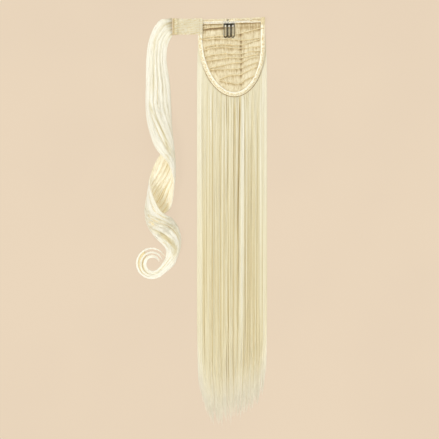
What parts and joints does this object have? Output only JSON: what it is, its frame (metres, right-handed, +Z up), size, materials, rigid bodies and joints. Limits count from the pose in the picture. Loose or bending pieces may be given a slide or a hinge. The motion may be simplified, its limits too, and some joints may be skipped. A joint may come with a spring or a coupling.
{
  "type": "ponytail hairpiece",
  "caption": "Long straight pale blonde wrap-around ponytail hairpiece with a net base, wire comb, fastening strap and a curled lock to wind round the tail, lying flat.",
  "frame": {"origin": "on the surface that the piece lies on, under the middle of the base", "axes": "+Z up out of the base's inner side, +Y from the tips of the hair to the base's top hem, +X away from the strap and the curled lock"},
  "size_m": [0.195, 0.612, 0.0272],
  "materials": {
    "hair": "pale blonde synthetic fibre with a soft sheen",
    "track": "sewn weft of hair",
    "net": "fine beige net with rows of stitches",
    "tape": "cream folded tape with gold stitches",
    "strap": "pale gold loop pile",
    "wire": "glossy black coated wire"
  },
  "bodies": {
    "root": {"hair_fall": "hair", "wrap_lock": "hair", "weft_1": "track", "weft_2": "track", "weft_3": "track", "weft_4": "track", "weft_5": "track", "weft_6": "track", "weft_7": "track", "weft_8": "track", "weft_9": "track", "weft_10": "track", "base_net": "net", "binding": "tape", "top_hem": "tape", "tape_tuck": "tape", "strap": "strap", "strap_end_band": "strap", "comb": "wire"}
  },
  "joints": []
}
